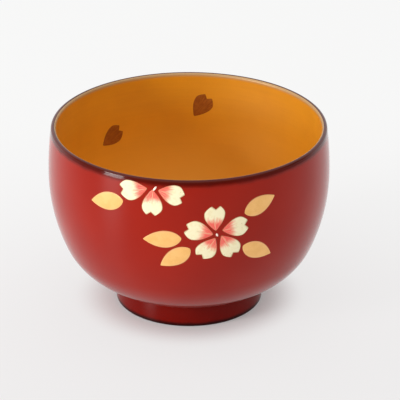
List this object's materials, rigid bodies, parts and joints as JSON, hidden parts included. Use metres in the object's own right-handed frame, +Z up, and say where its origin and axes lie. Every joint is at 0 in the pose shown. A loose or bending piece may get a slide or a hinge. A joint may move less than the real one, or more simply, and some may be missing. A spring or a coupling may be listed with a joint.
{
  "type": "rice bowl",
  "caption": "Round-bellied lacquered wooden rice bowl on a ring foot, red outside and gold inside, with blossom and leaf decoration.",
  "frame": {"origin": "centre of the foot's sole, on the table plane", "axes": "+Z up along the bowl's axis; the decoration's front centre line faces -Y, +X is to the right of it"},
  "size_m": [0.114, 0.1141, 0.0764],
  "materials": {
    "turned_wood": "turned hardwood, wholly under lacquer",
    "red_lacquer": "polished vermilion lacquer",
    "gold_lacquer": "satin gold-ochre lacquer with fine metal powder",
    "dark_lacquer": "polished dark maroon lacquer",
    "foot_red_lacquer": "polished red lacquer, darker at the sole's edge",
    "petal_film": "cream petals shaded coral at the base, with fine gold lines and dots",
    "stamen_film": "cream dot",
    "leaf_film": "satin powdered gold",
    "brown_film": "satin red-brown"
  },
  "bodies": {
    "root": {"wood_core": "turned_wood", "outer_lacquer": "red_lacquer", "inner_lacquer": "gold_lacquer", "rim_lacquer": "dark_lacquer", "foot_lacquer": "foot_red_lacquer", "full_blossom_petal_1": "petal_film", "full_blossom_petal_2": "petal_film", "full_blossom_petal_3": "petal_film", "full_blossom_petal_4": "petal_film", "full_blossom_petal_5": "petal_film", "full_blossom_dot": "stamen_film", "half_blossom_petal_1": "petal_film", "half_blossom_petal_2": "petal_film", "half_blossom_petal_3": "petal_film", "half_blossom_stamen": "stamen_film", "leaf_1": "leaf_film", "leaf_2": "leaf_film", "leaf_3": "leaf_film", "leaf_4": "leaf_film", "leaf_5": "leaf_film", "inner_petal_1": "brown_film", "inner_petal_2": "brown_film"}
  },
  "joints": []
}
